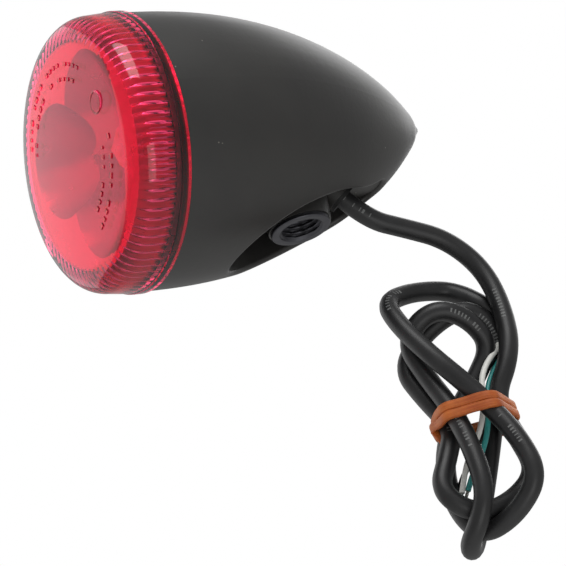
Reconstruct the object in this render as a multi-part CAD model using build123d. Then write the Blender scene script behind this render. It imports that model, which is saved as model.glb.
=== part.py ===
from build123d import *
import math
import os

# Bullet tail light. Millimetres, +Z up, the lens faces -Y and the tail points to +Y.
# The origin is the centre of the mounting thread's mouth, under the housing.

# ---- driving sizes ----------------------------------------------------------------------------
lens_diameter = 63.0
housing_length = 74.0          # from the lens seam to the tip of the tail
axis_height = 23.2             # lamp axis above the mouth of the mounting thread
mount_setback = 36.0           # mounting thread behind the lens seam

# housing
rim_step = 0.46                # the lens lip stands this much proud of the housing
bullet_fullness = 2.31         # exponents of the bullet outline
bullet_tip = 0.82
wall = 2.6
tail_thickness = 6.0
rim_wall = 1.84                # thinner wall round the lens socket
socket_depth = 9.0
lug_radius = 3.2
lug_length = 9.0

# recess under the housing, round the mounting boss
pocket_front = 16.6            # behind the lens seam
pocket_widest = 33.0
pocket_rear = 59.0
pocket_half_width = 12.7
pocket_ceiling = 9.7           # above the mouth of the thread
ceiling_thickness = 2.0
boss_radius = 7.3
boss_draft = 7.0               # degrees
mouth_rounding = 0.9           # edge between the recess and the outside

# mounting insert, M10 x 1.25
insert_flange_radius = 6.92
insert_flange = 1.0
insert_radius = 6.1
insert_length = 10.0
thread_bore = 4.375            # tapping bore of the M10 x 1.25 thread
insert_cap = 1.2               # housing left over the insert's inner end

# lens
lens_lip = 2.3
lens_side = 7.5                # seam to the start of the rounded shoulder
lens_depth = 15.0
lens_taper = 0.5
lens_shoulder = 6.0
lens_wall = 2.4
spigot_length = 4.5
spigot_wall = 2.05
lens_clearance = 0.15
seal_section = 1.2
seal_depth = 1.1               # depth of its groove
seal_setback = 2.3

# reflector, board and carrier
cups = 3
first_cup = 35.0               # degrees, seen from the front, from +X towards +Z
cup_share = 0.52               # of the reflector's clear radius
cup_rim = 1.2                  # left outside the cups
cup_window = 3.8
cup_wall = 1.1
reflector_gap = 1.2            # inside the lens spigot
reflector_front = -9.5
reflector_back = 0.8
reflector_web = 1.2
post_inset = 4.8               # from the reflector's edge
post_radius = 2.6
board_gap = 2.0                # inside the lens spigot
board_thickness = 1.6
board_front = 1.0
led_size = 5.0
led_height = 1.5
led_dome = 1.9
carrier_clearance = 0.3
carrier_plate = 2.0
carrier_lip = 1.4              # ring that the board rests on, inside the board's edge
carrier_ring_width = 5.6
capacitor_foot = 6.6
capacitor_place = (10.0, -2.0)  # across the board's back, and up
parts_clearance = 0.5          # between the carrier and the outermost part on the board

# screws
reflector_screw = 1.25
reflector_screw_head = (2.2, 1.5)
reflector_screw_bite = 4.0
carrier_screw = 1.5
carrier_screw_head = (2.7, 1.8)
carrier_screw_bite = 6.0
hole_clearance = 0.15
carrier_screw_inset = 3.5      # from the carrier's edge

# cable
cable_diameter = 4.5
core_diameter = 1.3
gland_radius = 5.1
gland_length = 5.0
cable_slack = 0.1              # round the jacket where it enters the housing
grommet_radius = 3.3
grommet_flange = (3.8, 0.9)
cable_inside = 7.0             # jacket beyond the gland's inner end
tie_section = (2.4, 1.2)       # width and thickness of the cable tie
tie_latch = 3.8
tie_setback = 5.6              # beyond the gland's inner end

# bundle below the lamp
bundle_centre = (-0.5, 27.3, -49.6)
bundle_heading = 59.4          # direction of the bundle's flat side, about +Z from +X
bundle_thickness = 16.0
upper_lobe = (-0.6, -17.0, 11.5, 18.0)     # centre across, centre down, half sizes
lower_lobe = (-2.1, 17.5, 13.5, 18.0)
bundle_waist = (15.5, 14.0)
lobe_rounding = 3.0
band_width = 4.5
band_thickness = 1.5

# Route of the cable from the gland to the bundle. Its first run is the gland's own axis.
lead_points = [
    (0.0, 12.6, 7.6),
    (0.0, 17.4, 1.3),
    (0.2, 26.0, -1.9),
    (0.8, 35.0, -5.9),
    (1.7, 41.2, -14.6),
    (3.6, 41.4, -26.4),
    (5.2, 38.4, -38.0),
    (4.6, 34.0, -46.0),
]

# Routes of the free conductors, from the end of the jacket inside the bundle.
free_cores = {
    "white": [
        (-0.6, 41.8, -25.3), (-0.2, 42.6, -28.6), (0.6, 38.6, -34.2),
        (2.0, 33.5, -38.1), (2.1, 30.4, -42.4), (2.0, 29.1, -48.2),
        (0.7, 26.9, -53.8), (-1.6, 23.5, -58.5), (-2.9, 21.7, -61.6),
        (-4.0, 19.8, -66.3),
    ],
    "green": [
        (-1.3, 43.2, -24.5), (-1.0, 44.0, -29.4), (-0.6, 39.4, -36.0),
        (0.7, 34.8, -40.2), (1.1, 31.6, -44.6), (1.0, 30.2, -49.9),
        (-0.2, 28.2, -55.6), (-2.2, 25.4, -60.1), (-3.2, 22.9, -63.3),
        (-4.0, 21.4, -66.0),
    ],
    "black": [
        (-2.0, 41.8, -25.3), (-2.0, 42.8, -29.6), (-2.5, 39.2, -37.2),
        (-0.9, 34.8, -43.0), (-0.4, 31.7, -48.0), (-1.1, 29.3, -52.6),
        (-3.2, 26.4, -56.7), (-5.0, 23.7, -60.3), (-6.1, 21.4, -63.3),
        (-6.6, 20.2, -65.9),
    ],
}
tinned_length = 5.0

# Conductors inside the housing: offsets across the cable, and across the board at their pads.
inner_cores = {"white": (-0.85, 0.45, -4.0), "green": (0.0, -0.95, 0.0), "black": (0.85, 0.45, 4.0)}
pad_height = 20.2              # height of the pads above the mouth of the thread
solder_height = 0.8
solder_radius = 1.3

# ---- derived sizes ----------------------------------------------------------------------------
lens_radius = lens_diameter / 2
housing_radius = lens_radius - rim_step
socket_radius = housing_radius - rim_wall
spigot_radius = socket_radius - lens_clearance
spigot_bore = spigot_radius - spigot_wall
carrier_radius = socket_radius - carrier_clearance
carrier_screw_pitch = carrier_radius - carrier_screw_inset
reflector_radius = spigot_bore - reflector_gap
cup_radius = cup_share * (reflector_radius - cup_rim)
cup_pitch = reflector_radius - cup_rim - cup_radius    # centre of a cup from the lamp axis
post_pitch = reflector_radius - post_inset
board_radius = spigot_bore - board_gap
carrier_ring = board_radius - carrier_lip
parts_reach = Vector(*[abs(value) + capacitor_foot / 2 for value in capacitor_place]).length
carrier_opening = max(carrier_ring - carrier_ring_width, parts_reach + parts_clearance)
board_back = board_front + board_thickness
carrier_front = socket_depth - carrier_plate
pocket_top = pocket_ceiling + ceiling_thickness
cable_radius = cable_diameter / 2
core_radius = core_diameter / 2
third = 360 / cups

# The lamp frame: local Z runs from the lens to the tail, local X is +X, local Y points down.
lamp = Plane(origin=(0, -mount_setback, axis_height), x_dir=(1, 0, 0), z_dir=(0, 1, 0)).location
# The gland frame: local Z leaves the housing along the cable.
gland_mouth = Vector(lead_points[0])
gland_axis = (Vector(lead_points[1]) - gland_mouth).normalized()
gland = Plane(origin=gland_mouth, x_dir=(1, 0, 0), z_dir=gland_axis).location
# The bundle frame: local X across the flat side, local Y down, local Z out of the flat side.
heading = math.radians(bundle_heading)
bundle_across = Vector(math.cos(heading), math.sin(heading), 0)
bundle = Plane(
    origin=bundle_centre,
    x_dir=bundle_across,
    z_dir=Vector(0, 0, -1).cross(bundle_across) * -1,
).location


def on_axis(angle, radius):
    """Point of the lamp frame at an angle seen from the front, from +X towards +Z."""
    a = math.radians(angle)
    return (radius * math.cos(a), -radius * math.sin(a))


def disc(radius, start, end, at=(0, 0)):
    """Cylinder along the lamp axis between two distances behind the seam."""
    return Pos(*at, start) * extrude(Circle(radius), end - start)


def turned(*edges):
    """Solid of revolution about local Z, from edges drawn as radius, height."""
    return revolve(Plane.XZ * make_face(Wire(edges)), Axis.Z)


def bullet_outline(radius, share):
    """Radius of the bullet at a share of the way from its rim to its tip."""
    return radius * (1 - share**bullet_fullness) ** bullet_tip


def bullet(radius, length, start):
    """Solid bullet of the housing's outline, open from start to its tip."""
    steps = 12
    heights = [start + (length - start) * (1 - (1 - i / steps) ** 2) for i in range(steps + 1)]
    points = [(bullet_outline(radius, height / length), height) for height in heights]
    side = Spline(points, tangents=[(0, 1), (-1, 0)])
    return turned(
        Line((0, length), (0, start)).edge(),
        Line((0, start), points[0]).edge(),
        side.edge(),
    )


def tube_along(points, diameter, clear=None):
    """Round tube along straight runs joined by tangent arcs; prints its radii."""
    corners = [Vector(p) for p in points]
    radii = []
    for before, corner, after in zip(corners, corners[1:], corners[2:]):
        turn = math.radians((corner - before).get_angle(after - corner))
        shorter = min((corner - before).length, (after - corner).length)
        radii.append(0.45 * shorter / math.tan(turn / 2))
    path = FilletPolyline(*corners, radius=radii)
    start = Plane(origin=path @ 0, z_dir=path % 0)
    solid = sweep(start * Circle(diameter / 2), path=path)
    share = solid.volume / (path.length * math.pi * diameter**2 / 4)
    print("tube", round(path.length, 1), "long, radii", [round(r, 1) for r in radii], round(share, 3))
    return solid


def pan_screw(radius, head, length):
    """Screw along local Z with its head's underside at 0 and its shank towards +Z."""
    head_radius, head_height = head
    shank = extrude(Circle(radius), length)
    cap = Pos(0, 0, -head_height) * extrude(Circle(head_radius), head_height)
    recess = Pos(0, 0, -head_height) * extrude(Rectangle(2 * radius, 0.5), head_height / 2)
    cross = Pos(0, 0, -head_height) * extrude(Rectangle(0.5, 2 * radius), head_height / 2)
    return cap + shank - recess - cross


def lug_places():
    return [on_axis(first_cup + third * i, carrier_screw_pitch) for i in range(cups)]


# ---- housing ----------------------------------------------------------------------------------
def pocket_outline(around=0.0):
    """Egg-shaped outline of the recess under the housing, in plan, with a wall around it."""
    front = pocket_front - mount_setback - around
    widest = pocket_widest - mount_setback
    rear = pocket_rear - mount_setback + around
    half = pocket_half_width + around
    nose = widest - front
    tail = rear - widest
    right = Spline(
        [(half, widest), (0.81 * half, widest + 0.46 * tail), (0.5 * half, widest + 0.76 * tail), (0, rear)],
        tangents=[(0, 1), (-1, 0)],
    )
    left = mirror(right, Plane.YZ)
    arc = EllipticalCenterArc((0, widest), half, nose, start_angle=180, arc_size=180)
    return make_face(Wire([right.edge(), left.edge(), arc.edge()]))


def on_outside(point):
    """True where a point lies on the housing's outside, behind its rim."""
    share = (point.Y + mount_setback) / housing_length
    if not 0 < share < 1:
        return False
    distance = math.hypot(point.X, point.Z - axis_height)
    return abs(distance - bullet_outline(housing_radius, share)) < 0.06


def is_mouth(edge):
    """True for the edges where the recess opens through the housing's outside."""
    low = edge.bounding_box().max.Z < pocket_ceiling
    return low and all(on_outside(edge @ t) for t in (0.1, 0.5, 0.9))


def make_housing():
    shell = lamp * bullet(housing_radius, housing_length, 0)
    cavity = lamp * bullet(housing_radius - wall, housing_length - tail_thickness, socket_depth)
    cavity += lamp * disc(socket_radius, -1, socket_depth)

    # Recess: its roof and walls are solid, and its space is cut out below them.
    below = Pos(0, 0, -axis_height)
    roof = below * extrude(pocket_outline(ceiling_thickness), axis_height + pocket_top)
    space = below * extrude(pocket_outline(), axis_height + pocket_ceiling)
    boss = extrude(
        Pos(0, 0, insert_flange) * Circle(boss_radius),
        pocket_top - insert_flange,
        taper=-boss_draft,
    )
    gland_stub = gland * Pos(0, 0, -gland_length) * extrude(Circle(gland_radius), gland_length)
    insert_seat = extrude(Circle(insert_radius), insert_length)
    lugs = [
        lamp * disc(lug_radius, socket_depth, socket_depth + lug_length, place)
        for place in lug_places()
    ]
    pilots = [
        lamp * disc(carrier_screw, socket_depth - 1, socket_depth + carrier_screw_bite, place)
        for place in lug_places()
    ]
    inside = shell - cavity
    inside += (roof + lugs[0] + lugs[1] + lugs[2]) & shell
    inside -= space
    inside += boss + gland_stub
    inside -= insert_seat
    inside -= gland * Pos(0, 0, -gland_length) * extrude(Circle(grommet_radius), gland_length)
    inside -= gland * extrude(Circle(cable_radius + cable_slack), -gland_length - cable_inside)
    for pilot in pilots:
        inside -= pilot
    return fillet(inside.edges().filter_by(is_mouth), mouth_rounding)


def make_insert():
    body = extrude(Circle(insert_radius), insert_length)
    flange = extrude(Circle(insert_flange_radius), insert_flange)
    return body + flange - extrude(Circle(thread_bore), insert_length)


# ---- lens -------------------------------------------------------------------------------------
def dome_outline(radius, side, depth, shoulder, back):
    """Edges of a lens profile from its back edge over the rounded shoulder to the axis."""
    top = radius - lens_taper
    across = top - shoulder
    rise = depth - side
    face = (shoulder**2 - across**2 - rise**2) / (2 * (shoulder - rise))
    centre = depth - face
    reach = math.hypot(across, side - centre)
    edge = (across * face / reach, -centre - (side - centre) * face / reach)
    bend = math.atan2(side - centre, across) / 2
    middle = (across + shoulder * math.cos(bend), -side - shoulder * math.sin(bend))
    half = math.atan2(edge[0], -edge[1] - centre) / 2
    crown = (face * math.sin(half), -centre - face * math.cos(half))
    return [
        Line((radius, back), (top, -side)).edge(),
        ThreePointArc((top, -side), middle, edge).edge(),
        ThreePointArc(edge, crown, (0, -depth)).edge(),
    ]


def make_lens():
    rim = lens_radius - 0.15
    outer = turned(
        *dome_outline(rim, lens_side, lens_depth, lens_shoulder, 0),
        Line((0, -lens_depth), (0, 0)).edge(),
        Line((0, 0), (rim, 0)).edge(),
    )
    inner_side = spigot_bore + lens_taper
    inner = turned(
        *dome_outline(inner_side, lens_side, lens_depth - lens_wall, lens_shoulder - 2, 0),
        Line((0, lens_wall - lens_depth), (0, 0)).edge(),
        Line((0, 0), (inner_side, 0)).edge(),
    )
    lip = disc(lens_radius, -lens_lip, 0) - disc(spigot_radius, -lens_lip, 0)
    spigot = disc(spigot_radius, 0, spigot_length)
    groove = disc(spigot_radius, seal_setback - seal_section / 2, seal_setback + seal_section / 2)
    groove -= disc(spigot_radius - seal_depth, 0, spigot_length)
    body = outer + lip + spigot - groove
    return lamp * (body - inner - disc(spigot_bore, -1, spigot_length))


def make_seal():
    centre = spigot_radius - seal_depth + seal_section / 2
    return lamp * Pos(0, 0, seal_setback) * Torus(centre, seal_section / 2)


# ---- reflector, board and LEDs ----------------------------------------------------------------
def cup_solid(rim_radius, window_radius):
    """Solid bowl between a cup's window and its rim, with a parabolic side."""
    depth = reflector_back - reflector_front
    rate = depth / (cup_radius**2 - cup_window**2)
    bend = depth - rate * (cup_radius * cup_window - cup_window**2)
    control = ((rim_radius + window_radius) / 2, reflector_front + bend)
    side = Bezier((rim_radius, reflector_front), control, (window_radius, reflector_back))
    return turned(
        Line((0, reflector_back), (0, reflector_front)).edge(),
        Line((0, reflector_front), (rim_radius, reflector_front)).edge(),
        side.edge(),
        Line((window_radius, reflector_back), (0, reflector_back)).edge(),
    )


def post_places():
    return [on_axis(first_cup + third / 2 + third * i, post_pitch) for i in range(cups)]


def cup_places():
    return [on_axis(first_cup + third * i, cup_pitch) for i in range(cups)]


def make_reflector():
    body = disc(reflector_radius, reflector_front, reflector_front + reflector_web)
    body += disc(reflector_radius, reflector_front, reflector_back) - disc(
        reflector_radius - reflector_web, reflector_front, reflector_back
    )
    for place in cup_places():
        body += Pos(*place, 0) * cup_solid(cup_radius + cup_wall, cup_window + cup_wall)
    for place in post_places():
        body += disc(post_radius, reflector_front, reflector_back, place)
    body &= disc(reflector_radius, reflector_front, reflector_back)
    for place in cup_places():
        body -= Pos(*place, 0) * cup_solid(cup_radius, cup_window)
    for place in post_places():
        body -= disc(reflector_screw, board_front - reflector_screw_bite, board_front, place)
    return lamp * body


def make_board():
    body = disc(board_radius, board_front, board_back)
    for place in post_places():
        body -= disc(reflector_screw + hole_clearance, board_front, board_back, place)
    return lamp * body


def make_led(place):
    """Square LED package on the board's front face, with its small dome."""
    package = extrude(RectangleRounded(led_size, led_size, 0.4), -led_height)
    dome = Pos(0, 0, -led_height) * Sphere(led_dome)
    dome &= Pos(0, 0, -led_height - led_dome / 2) * Box(2 * led_dome, 2 * led_dome, led_dome)
    return lamp * Pos(*place, board_front) * (package + dome)


def on_board(across, up, solid):
    """Place a component, drawn standing on local Z = 0, on the board's back face."""
    return lamp * Pos(across, -up, board_back) * solid


def make_driver_chip():
    body = Pos(0, 0, 0.15) * extrude(Rectangle(4.9, 3.9), 1.5)
    legs = [
        Pos(-1.905 + 1.27 * i, side * 2.45, 0) * extrude(Rectangle(0.42, 1.1), 0.4)
        for i in range(4)
        for side in (-1, 1)
    ]
    for leg in legs:
        body += leg
    return on_board(0, 9.0, body)


def make_resistors():
    chip = extrude(Rectangle(3.2, 1.6), 0.6)
    return [on_board(-10.5, 4.5 - 4.0 * i, chip) for i in range(cups)]


def make_diode():
    return on_board(10.0, 5.0, chamfer(extrude(Rectangle(4.3, 2.6), 2.1).edges().group_by(Axis.Z)[-1], 0.3))


def make_capacitor():
    can = extrude(Circle(3.15), 5.4)
    foot = extrude(Rectangle(capacitor_foot, capacitor_foot), 0.6)
    return on_board(*capacitor_place, fillet((can + foot).edges().group_by(Axis.Z)[-1], 0.4))


def make_carrier():
    body = disc(carrier_radius, carrier_front, socket_depth)
    body += disc(carrier_ring, board_back, socket_depth)
    body -= disc(carrier_opening, board_back, socket_depth)
    head_radius = carrier_screw_head[0]
    for place in lug_places():
        body -= disc(carrier_screw + hole_clearance, carrier_front, socket_depth, place)
        body -= disc(head_radius + hole_clearance, board_back, carrier_front, place)
    for place in post_places():
        body -= disc(reflector_screw + hole_clearance, board_back, socket_depth, place)
    return lamp * body


def make_carrier_screws():
    screw = pan_screw(carrier_screw, carrier_screw_head, carrier_plate + carrier_screw_bite)
    return [lamp * Pos(*place, carrier_front) * screw for place in lug_places()]


def make_reflector_screws():
    length = socket_depth - board_front + reflector_screw_bite
    screw = Rot(180, 0, 0) * pan_screw(reflector_screw, reflector_screw_head, length)
    return [lamp * Pos(*place, socket_depth) * screw for place in post_places()]


# ---- cable inside the housing -----------------------------------------------------------------
def along_gland(distance, aside=0.0, over=0.0):
    """Point at a distance into the housing from the gland's mouth, with offsets across it."""
    across = Vector(1, 0, 0)
    upward = gland_axis.cross(across) * -1
    return gland_mouth - gland_axis * distance + across * aside + upward * over


def make_grommet():
    flange_radius, flange = grommet_flange
    body = Pos(0, 0, -gland_length) * extrude(Circle(grommet_radius), gland_length)
    body += Pos(0, 0, 0) * extrude(Circle(flange_radius), flange)
    bore = Pos(0, 0, -gland_length) * extrude(Circle(cable_radius), gland_length + flange)
    return gland * (body - bore)


def make_cable_inside():
    return gland * Pos(0, 0, -gland_length - cable_inside) * extrude(
        Circle(cable_radius), gland_length + cable_inside
    )


def make_tie():
    width, thickness = tie_section
    ring = Circle(cable_radius + thickness) - Circle(cable_radius)
    band = extrude(ring, width)
    latch = Pos(0, -cable_radius - tie_latch / 2, -0.6) * extrude(Rectangle(4.0, tie_latch), width + 1.2)
    latch -= extrude(Circle(cable_radius), 2 * width, both=True)
    return gland * Pos(0, 0, -gland_length - tie_setback) * (band + latch)


def make_inner_core(aside, over, pad):
    """Conductor from the end of the jacket to its pad on the board."""
    start = along_gland(gland_length + cable_inside, aside, over)
    straight = along_gland(gland_length + cable_inside + 5.0, aside, over)
    pad_y = board_back - mount_setback
    return tube_along(
        [
            start,
            straight,
            (0.4 * aside + 0.4 * pad, -7.5, pad_height + 0.5 + over),
            (0.8 * pad, -18.0, pad_height + 1.5 + over),
            (pad, pad_y + 6.5, pad_height),
            (pad, pad_y + solder_height, pad_height),
        ],
        core_diameter,
    )


def make_solder_joints():
    """Small domes on the board where the conductors end."""
    joint = Cone(solder_radius, core_radius + 0.1, solder_height)
    joint = Pos(0, 0, solder_height / 2) * joint
    return [on_board(pad, pad_height - axis_height, joint) for *_, pad in inner_cores.values()]


# ---- cable below the lamp ---------------------------------------------------------------------
def make_bundle():
    """Outer shape of the coiled cable: two flat lobes and the waist that the band holds."""
    waist, height = bundle_waist
    body = Box(waist, height, bundle_thickness)
    for across, down, half_width, half_height in (upper_lobe, lower_lobe):
        lobe = extrude(Ellipse(half_width, half_height), bundle_thickness / 2, both=True)
        body += Pos(across, down) * fillet(lobe.edges().filter_by(GeomType.ELLIPSE), lobe_rounding)
    around = Box(2 * waist, band_width, 2 * bundle_thickness) - Box(waist, band_width, bundle_thickness)
    return bundle * (body - around)


def make_band():
    waist = bundle_waist[0]
    outer = Box(waist + 2 * band_thickness, band_width, bundle_thickness + 2 * band_thickness)
    outer = fillet(outer.edges().filter_by(Axis.Y), 3.0)
    return bundle * (outer - Box(waist, band_width, bundle_thickness))


def make_tinned_ends():
    """Tinned tips that carry on from the free conductors' insulation."""
    tips = []
    for points in free_cores.values():
        before, last = (Vector(p) for p in points[-2:])
        tip = Plane(origin=last, z_dir=last - before)
        tips.append(tip * extrude(Circle(core_radius * 0.62), tinned_length))
    return tips


# ---- all nodes --------------------------------------------------------------------------------
nodes = {
    "housing": make_housing(),
    "mount_insert": make_insert(),
    "lens": make_lens(),
    "lens_seal": make_seal(),
    "reflector": make_reflector(),
    "led_board": make_board(),
    "driver_chip": make_driver_chip(),
    "resistors": make_resistors(),
    "reverse_diode": make_diode(),
    "capacitor": make_capacitor(),
    "board_carrier": make_carrier(),
    "carrier_screws": make_carrier_screws(),
    "reflector_screws": make_reflector_screws(),
    "cable_grommet": make_grommet(),
    "cable_inside": make_cable_inside(),
    "cable_tie": make_tie(),
    "solder_joints": make_solder_joints(),
    "cable_lead": tube_along(lead_points, cable_diameter),
    "cable_bundle": make_bundle(),
    "rubber_band": make_band(),
    "tinned_ends": make_tinned_ends(),
}
for number, place in enumerate(cup_places(), start=1):
    nodes[f"led_{number}"] = make_led(place)
for colour, (aside, over, pad) in inner_cores.items():
    nodes[f"inner_core_{colour}"] = make_inner_core(aside, over, pad)
for colour, points in free_cores.items():
    nodes[f"free_core_{colour}"] = tube_along(points, core_diameter)

os.makedirs("parts", exist_ok=True)
for name, shape in nodes.items():
    solids = shape if isinstance(shape, list) else [shape]
    export_step(Compound(children=solids) if len(solids) > 1 else solids[0], f"parts/{name}.step")
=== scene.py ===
import math

import bmesh
import bpy
from mathutils import Matrix, Vector, noise


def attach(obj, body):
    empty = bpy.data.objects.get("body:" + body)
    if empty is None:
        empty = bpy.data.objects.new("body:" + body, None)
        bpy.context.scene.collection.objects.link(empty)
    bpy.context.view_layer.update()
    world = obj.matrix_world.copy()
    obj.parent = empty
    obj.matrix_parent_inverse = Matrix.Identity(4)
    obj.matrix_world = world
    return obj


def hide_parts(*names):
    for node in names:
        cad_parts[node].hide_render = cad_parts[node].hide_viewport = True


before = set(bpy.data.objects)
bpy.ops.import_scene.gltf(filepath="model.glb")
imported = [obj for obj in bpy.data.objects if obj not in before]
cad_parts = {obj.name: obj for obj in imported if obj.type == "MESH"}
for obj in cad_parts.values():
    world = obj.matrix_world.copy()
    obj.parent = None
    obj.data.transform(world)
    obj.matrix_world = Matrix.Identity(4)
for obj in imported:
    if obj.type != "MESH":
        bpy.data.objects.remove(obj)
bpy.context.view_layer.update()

MM = 0.001

# Sizes shared with the model, in millimetres. The lamp axis runs along Y, and distances
# along it are measured backwards from the lens seam.
AXIS_HEIGHT = 23.2
SETBACK = 36.0
CABLE_DIAMETER = 4.5
CORE_DIAMETER = 1.3
TINNED_LENGTH = 5.0

# Frame of the coiled cable: across its flat side, down it, and out of it.
BUNDLE_CENTRE = Vector((-0.5, 27.3, -49.6))
BUNDLE_HEADING = math.radians(59.4)
ACROSS = Vector((math.cos(BUNDLE_HEADING), math.sin(BUNDLE_HEADING), 0))
OUT = Vector((math.sin(BUNDLE_HEADING), -math.cos(BUNDLE_HEADING), 0))


def in_bundle(across, down, out):
    """Point of the coil's own frame, in the lamp's frame."""
    return BUNDLE_CENTRE + ACROSS * across + Vector((0, 0, -down)) + OUT * out


def on_lamp(radius, angle, behind):
    """Point round the lamp axis: angle from +X towards +Z, distance behind the seam."""
    return Vector((radius * math.cos(angle), behind - SETBACK, AXIS_HEIGHT + radius * math.sin(angle)))


# ---- camera -----------------------------------------------------------------------------------
def make_camera():
    place = Vector((699.79, -419.52, -363.18)) * MM
    target = Vector((-12.757, -1.341, -6.253)) * MM
    roll = math.radians(-18.543)
    data = bpy.data.cameras.new("camera")
    data.sensor_width = 36.0
    data.lens = 254.0
    data.clip_start = 0.05
    data.clip_end = 20.0
    camera = bpy.data.objects.new("camera", data)
    bpy.context.scene.collection.objects.link(camera)
    back = (place - target).normalized()
    level = Vector((0, 0, 1)).cross(back).normalized()
    upward = back.cross(level)
    right = level * math.cos(roll) + upward * math.sin(roll)
    top = upward * math.cos(roll) - level * math.sin(roll)
    turn = Matrix((right, top, back)).transposed().to_4x4()
    camera.matrix_world = Matrix.Translation(place) @ turn
    bpy.context.scene.camera = camera


make_camera()


# ---- materials --------------------------------------------------------------------------------
def shade(code):
    """Linear colour of an sRGB hex code."""
    parts = [int(code[i:i + 2], 16) / 255 for i in (1, 3, 5)]
    linear = [p / 12.92 if p <= 0.04045 else ((p + 0.055) / 1.055) ** 2.4 for p in parts]
    return (*linear, 1.0)


def add(tree, kind, inputs=None, **settings):
    """Add a node, with its settings, and with constants or links on its inputs."""
    made = tree.nodes.new(kind)
    for name, value in settings.items():
        setattr(made, name, value)
    for name, value in (inputs or {}).items():
        socket = made.inputs[name]
        if isinstance(value, bpy.types.NodeSocket):
            tree.links.new(value, socket)
        else:
            socket.default_value = value
    return made


def new_material(name):
    """Material with only an output node, its node tree and that output."""
    material = bpy.data.materials.new(name)
    material.use_nodes = True
    tree = material.node_tree
    tree.nodes.clear()
    return material, tree, add(tree, "ShaderNodeOutputMaterial")


def finish_material(tree, output, surface):
    tree.links.new(surface.outputs[0], output.inputs["Surface"])


def satin_paint():
    # Satin black stove enamel on die-cast zinc: warm charcoal, faintly uneven in tone and gloss,
    # with the fine orange peel of sprayed enamel and a few pale dust specks.
    material, tree, output = new_material("satin_black_enamel_on_zinc")
    place = add(tree, "ShaderNodeTexCoord").outputs["Object"]
    cloud = add(tree, "ShaderNodeTexNoise", {"Vector": place, "Scale": 60.0, "Detail": 4.0})
    tone = add(tree, "ShaderNodeValToRGB", {"Fac": cloud.outputs["Fac"]})
    tone.color_ramp.elements[0].position = 0.35
    tone.color_ramp.elements[0].color = shade("#262524")
    tone.color_ramp.elements[1].position = 0.7
    tone.color_ramp.elements[1].color = shade("#2d2c2a")
    specks = add(tree, "ShaderNodeTexVoronoi", {"Vector": place, "Scale": 420.0})
    speck = add(tree, "ShaderNodeMath", {0: specks.outputs["Distance"], 1: 0.07}, operation="LESS_THAN")
    rare = add(tree, "ShaderNodeTexNoise", {"Vector": place, "Scale": 300.0, "Detail": 1.0})
    few = add(tree, "ShaderNodeMath", {0: rare.outputs["Fac"], 1: 0.66}, operation="GREATER_THAN")
    dust = add(tree, "ShaderNodeMath", {0: speck.outputs[0], 1: few.outputs[0]}, operation="MULTIPLY")
    paint = add(tree, "ShaderNodeMix", {"Factor": dust.outputs[0]}, data_type="RGBA")
    tree.links.new(tone.outputs["Color"], paint.inputs[6])
    paint.inputs[7].default_value = shade("#8c8880")
    gloss = add(tree, "ShaderNodeMapRange", {"Value": cloud.outputs["Fac"], "To Min": 0.4, "To Max": 0.5})
    # Orange peel about 0.9 mm across, and a finer grain of the satin pigment.
    peel = add(tree, "ShaderNodeTexNoise", {"Vector": place, "Scale": 1100.0, "Detail": 2.0})
    grain = add(tree, "ShaderNodeTexNoise", {"Vector": place, "Scale": 3200.0, "Detail": 2.0})
    coarse = add(tree, "ShaderNodeBump", {
        "Height": peel.outputs["Fac"], "Strength": 0.10, "Distance": 0.0002,
    })
    fine = add(tree, "ShaderNodeBump", {
        "Height": grain.outputs["Fac"], "Strength": 0.12, "Distance": 0.0001,
        "Normal": coarse.outputs["Normal"],
    })
    finish_material(tree, output, add(tree, "ShaderNodeBsdfPrincipled", {
        "Base Color": paint.outputs[2], "Roughness": gloss.outputs[0],
        "Normal": fine.outputs["Normal"], "IOR": 1.5, "Coat Weight": 0.15, "Coat Roughness": 0.3,
    }))
    return material


def red_lens():
    # Polished transparent red acrylic, clear enough to show the mirror behind it, with the slight
    # flow ripple of the moulding.
    material, tree, output = new_material("polished_red_acrylic")
    place = add(tree, "ShaderNodeTexCoord").outputs["Object"]
    flow = add(tree, "ShaderNodeTexNoise", {"Vector": place, "Scale": 90.0, "Detail": 1.0})
    wave = add(tree, "ShaderNodeBump", {"Height": flow.outputs["Fac"], "Strength": 0.05, "Distance": 0.0003})
    gloss = add(tree, "ShaderNodeMapRange", {"Value": flow.outputs["Fac"], "To Min": 0.02, "To Max": 0.06})
    clear = add(tree, "ShaderNodeBsdfPrincipled", {
        "Base Color": shade("#f43f70"), "Roughness": gloss.outputs[0], "IOR": 1.49,
        "Transmission Weight": 1.0, "Normal": wave.outputs["Normal"],
    })
    finish_material(tree, output, clear)
    return material


def mirror_plastic():
    # Vacuum-metallised ABS: a bright mirror with the slight ripple of the moulding under it.
    material, tree, output = new_material("metallised_abs_mirror")
    place = add(tree, "ShaderNodeTexCoord").outputs["Object"]
    ripple = add(tree, "ShaderNodeTexNoise", {"Vector": place, "Scale": 140.0, "Detail": 2.0})
    bump = add(tree, "ShaderNodeBump", {
        "Height": ripple.outputs["Fac"], "Strength": 0.15, "Distance": 0.0004,
    })
    haze = add(tree, "ShaderNodeMapRange", {"Value": ripple.outputs["Fac"], "To Min": 0.22, "To Max": 0.36})
    finish_material(tree, output, add(tree, "ShaderNodeBsdfPrincipled", {
        "Base Color": shade("#dcdce0"), "Metallic": 1.0, "Roughness": haze.outputs[0],
        "Normal": bump.outputs["Normal"],
    }))
    return material


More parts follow.
